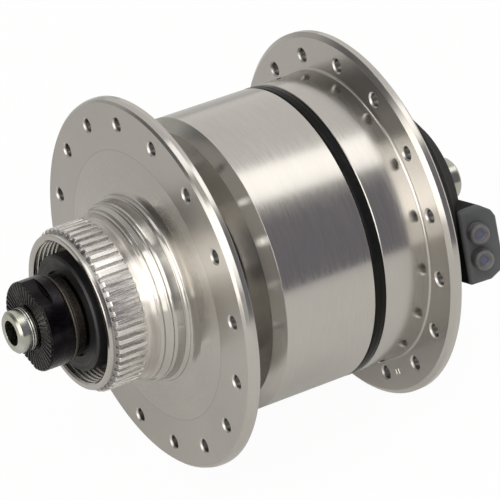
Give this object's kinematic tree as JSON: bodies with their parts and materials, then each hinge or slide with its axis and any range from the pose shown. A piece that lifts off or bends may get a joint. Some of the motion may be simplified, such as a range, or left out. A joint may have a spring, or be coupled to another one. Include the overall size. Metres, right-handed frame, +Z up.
{
  "type": "bicycle hub dynamo",
  "caption": "Front wheel hub that makes its own light power: spoke flanges, splined rotor seat, claw-pole generator on a hollow axle, and a pull-off plug.",
  "frame": {"origin": "middle of the axle, on its centre line, halfway between the two locknut faces", "axes": "+Y along the axle towards the rotor side; +Z up; +X to the right when looking from the plug end towards the rotor end"},
  "size_m": [0.0798, 0.108, 0.0798],
  "materials": {
    "shell_aluminium": "satin turned",
    "band_black": "gloss",
    "cap_grey": "matte dark grey",
    "bearing_steel": "ground",
    "ball_steel": "polished",
    "cage_yellow": "matte",
    "yoke_steel": "dull",
    "magnet_dark": "dark sintered",
    "axle_zinc": "zinc plated",
    "nut_black": "black oxide",
    "washer_dark": "dark oiled",
    "cone_dark": "dark oiled",
    "nut_zinc": "zinc plated",
    "seal_rubber": "matte",
    "stator_iron": "stamped",
    "bobbin_cream": "matte",
    "copper": "enamelled wire",
    "lead_red": "satin",
    "contact_brass": "bright",
    "cover_black": "fine matte",
    "plug_black": "matte",
    "plug_grey": "fine matte",
    "nozzle_grey": "translucent matte",
    "seal_blue": "translucent matte"
  },
  "bodies": {
    "axle_set": {"axle": "axle_zinc", "left_locknut": "nut_black", "left_washer": "washer_dark", "left_cone": "cone_dark", "left_cone_seal": "seal_rubber", "right_cone": "cone_dark", "right_cone_seal": "seal_rubber", "right_washer": "nut_zinc", "right_locknut": "nut_zinc", "stator_core": "stator_iron", "left_claw": "stator_iron", "right_claw": "stator_iron", "coil_bobbin": "bobbin_cream", "coil_winding": "copper", "stator_nut": "nut_zinc", "coil_lead": "lead_red", "ground_contact": "contact_brass", "terminal_pins": "contact_brass", "end_cover": "cover_black"},
    "rotating_shell": {"hub_shell": "shell_aluminium", "right_flange_cap": "shell_aluminium", "seal_band": "band_black", "dust_cap": "cap_grey", "left_cup": "bearing_steel", "right_cup": "bearing_steel", "yoke_ring": "yoke_steel", "magnets": "magnet_dark"},
    "left_ball_set": {"left_balls": "ball_steel", "left_retainer": "cage_yellow"},
    "right_ball_set": {"right_balls": "ball_steel", "right_retainer": "cage_yellow"},
    "plug": {"plug_body": "plug_black", "plug_cover": "plug_grey", "plug_nozzles": "nozzle_grey", "wire_seals": "seal_blue", "plug_contacts": "contact_brass"}
  },
  "joints": [
    {"name": "shell_spin", "type": "hinge", "parent": "axle_set", "child": "rotating_shell", "pos_m": [0, 0, 0], "axis": [0, 1, 0], "continuous": true},
    {"name": "left_balls_roll", "type": "hinge", "parent": "axle_set", "child": "left_ball_set", "pos_m": [0, 0.0364, 0], "axis": [0, 1, 0], "continuous": true},
    {"name": "right_balls_roll", "type": "hinge", "parent": "axle_set", "child": "right_ball_set", "pos_m": [0, -0.037, 0], "axis": [0, 1, 0], "continuous": true},
    {"name": "plug_pull", "type": "slide", "parent": "axle_set", "child": "plug", "axis": [-0.9397, 0, 0.342], "range_m": [0, 0.008]}
  ],
  "couplings": [
    {"joint": "left_balls_roll", "follows": "shell_spin", "ratio": 0.608},
    {"joint": "right_balls_roll", "follows": "shell_spin", "ratio": 0.608}
  ]
}
